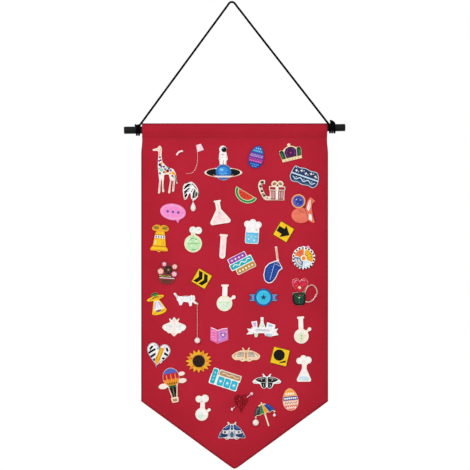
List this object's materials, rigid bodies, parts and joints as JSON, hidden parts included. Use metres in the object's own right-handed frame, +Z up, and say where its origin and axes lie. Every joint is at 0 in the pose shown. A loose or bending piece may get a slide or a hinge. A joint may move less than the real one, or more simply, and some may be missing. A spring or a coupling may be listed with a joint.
{
  "type": "pin display banner",
  "caption": "Canvas pennant hung from a dowel by a cord, carrying enamel pins whose posts pass through the cloth into clutches.",
  "frame": {"origin": "the point where a nail carries the hanging cord, under the cord's highest bend", "axes": "+Z up along the hanging banner, +X to the viewer's right, the front with the pins faces -Y"},
  "size_m": [0.361, 0.0192, 0.7632],
  "materials": {
    "canvas": "plain weave cotton canvas",
    "cord": "black braided cord",
    "dowel": "black satin paint",
    "pearl": "pearl",
    "pin_giraffe": "hard enamel on a die-struck plate",
    "pin_crescent": "hard enamel on a die-struck plate",
    "pin_kite": "hard enamel on a die-struck plate",
    "pin_planet": "hard enamel on a die-struck plate",
    "pin_blue_egg": "hard enamel on a die-struck plate",
    "pin_crown": "hard enamel on a die-struck plate",
    "pin_navy_plaque": "hard enamel on a die-struck plate",
    "pin_zebra": "hard enamel on a die-struck plate",
    "pin_melon": "hard enamel on a die-struck plate",
    "pin_gift": "hard enamel on a die-struck plate",
    "pin_bubble": "hard enamel on a die-struck plate",
    "pin_white_flask": "hard enamel on a die-struck plate",
    "pin_moon_leaf": "hard enamel on a die-struck plate",
    "pin_beaker": "hard enamel on a die-struck plate",
    "pin_arrow_sign": "hard enamel on a die-struck plate",
    "pin_bell": "hard enamel on a die-struck plate",
    "pin_green_flask": "hard enamel on a die-struck plate",
    "pin_test_tube": "hard enamel on a die-struck plate",
    "pin_scallop_badge": "hard enamel on a die-struck plate",
    "pin_feather": "hard enamel on a die-struck plate",
    "pin_banded_plaque": "hard enamel on a die-struck plate",
    "pin_flower_pot": "hard enamel on a die-struck plate",
    "pin_chevron_sign": "hard enamel on a die-struck plate",
    "pin_heart_pouch": "hard enamel on a die-struck plate",
    "pin_side_flask": "hard enamel on a die-struck plate",
    "pin_rosette": "hard enamel on a die-struck plate",
    "pin_saucer": "hard enamel on a die-struck plate",
    "pin_cat": "hard enamel on a die-struck plate",
    "pin_white_moth": "hard enamel on a die-struck plate",
    "pin_filled_flask": "hard enamel on a die-struck plate",
    "pin_scroll": "hard enamel on a die-struck plate",
    "pin_book": "hard enamel on a die-struck plate",
    "pin_striped_heart": "hard enamel on a die-struck plate",
    "pin_disc_sign": "hard enamel on a die-struck plate",
    "pin_gold_moth": "hard enamel on a die-struck plate",
    "pin_sunflower": "hard enamel on a die-struck plate",
    "pin_foam_flask": "hard enamel on a die-struck plate",
    "pin_balloon": "hard enamel on a die-struck plate",
    "pin_teal_plaque": "hard enamel on a die-struck plate",
    "pin_black_moth": "hard enamel on a die-struck plate",
    "pin_coral_egg": "hard enamel on a die-struck plate",
    "pin_arrow_heart": "hard enamel on a die-struck plate",
    "pin_foam_round_flask": "hard enamel on a die-struck plate",
    "pin_umbrella": "hard enamel on a die-struck plate",
    "pin_blue_moth": "hard enamel on a die-struck plate"
  },
  "bodies": {
    "hanger": {"hanger_cord": "cord", "left_wrap": "cord", "right_wrap": "cord"},
    "dowel": {"dowel": "dowel"},
    "banner": {"canvas_panel": "canvas", "rod_pocket": "canvas", "pin_giraffe": "pin_giraffe", "pin_crescent": "pin_crescent", "pin_kite": "pin_kite", "pin_planet": "pin_planet", "pin_blue_egg": "pin_blue_egg", "pin_crown": "pin_crown", "pin_navy_plaque": "pin_navy_plaque", "pin_zebra": "pin_zebra", "pin_melon": "pin_melon", "pin_gift": "pin_gift", "pin_bubble": "pin_bubble", "pin_white_flask": "pin_white_flask", "pin_moon_leaf": "pin_moon_leaf", "pin_beaker": "pin_beaker", "pin_arrow_sign": "pin_arrow_sign", "pin_bell": "pin_bell", "pin_green_flask": "pin_green_flask", "pin_test_tube": "pin_test_tube", "pin_scallop_badge": "pin_scallop_badge", "pin_feather": "pin_feather", "pin_banded_plaque": "pin_banded_plaque", "pin_flower_pot": "pin_flower_pot", "pin_chevron_sign": "pin_chevron_sign", "pin_heart_pouch": "pin_heart_pouch", "pin_side_flask": "pin_side_flask", "pin_rosette": "pin_rosette", "pin_saucer": "pin_saucer", "pin_cat": "pin_cat", "pin_white_moth": "pin_white_moth", "pin_filled_flask": "pin_filled_flask", "pin_scroll": "pin_scroll", "pin_book": "pin_book", "pin_striped_heart": "pin_striped_heart", "pin_disc_sign": "pin_disc_sign", "pin_gold_moth": "pin_gold_moth", "pin_sunflower": "pin_sunflower", "pin_foam_flask": "pin_foam_flask", "pin_balloon": "pin_balloon", "pin_teal_plaque": "pin_teal_plaque", "pin_black_moth": "pin_black_moth", "pin_coral_egg": "pin_coral_egg", "pin_arrow_heart": "pin_arrow_heart", "pin_foam_round_flask": "pin_foam_round_flask", "pin_umbrella": "pin_umbrella", "pin_blue_moth": "pin_blue_moth"},
    "zebra_drop_charm": {"zebra_drop_charm": "pearl"},
    "cat_ball_charm": {"cat_ball_charm": "pearl"},
    "umbrella_large_charm": {"umbrella_large_charm": "pearl"},
    "umbrella_small_charm": {"umbrella_small_charm": "pearl"}
  },
  "joints": [
    {"name": "dowel_roll", "type": "hinge", "parent": "hanger", "child": "dowel", "pos_m": [0.0045, 0, -0.20546], "axis": [0.9999, 0, 0.0122], "continuous": true},
    {"name": "banner_swing", "type": "hinge", "parent": "hanger", "child": "banner", "pos_m": [0.0045, 0, -0.20546], "axis": [-0.9999, 0, -0.0122], "range_deg": [-60, 60]},
    {"name": "zebra_drop_charm_swing", "type": "hinge", "parent": "banner", "child": "zebra_drop_charm", "pos_m": [-0.06301, -0.0031, -0.32223], "axis": [0, 1, 0], "range_deg": [-60, 60]},
    {"name": "cat_ball_charm_swing", "type": "hinge", "parent": "banner", "child": "cat_ball_charm", "pos_m": [-0.0563, -0.0031, -0.49089], "axis": [0, 1, 0], "range_deg": [-60, 60]},
    {"name": "umbrella_large_charm_swing", "type": "hinge", "parent": "banner", "child": "umbrella_large_charm", "pos_m": [0.03887, -0.0031, -0.676], "axis": [0, 1, 0], "range_deg": [-60, 60]},
    {"name": "umbrella_small_charm_swing", "type": "hinge", "parent": "banner", "child": "umbrella_small_charm", "pos_m": [0.06927, -0.0031, -0.66612], "axis": [0, 1, 0], "range_deg": [-60, 60]}
  ]
}
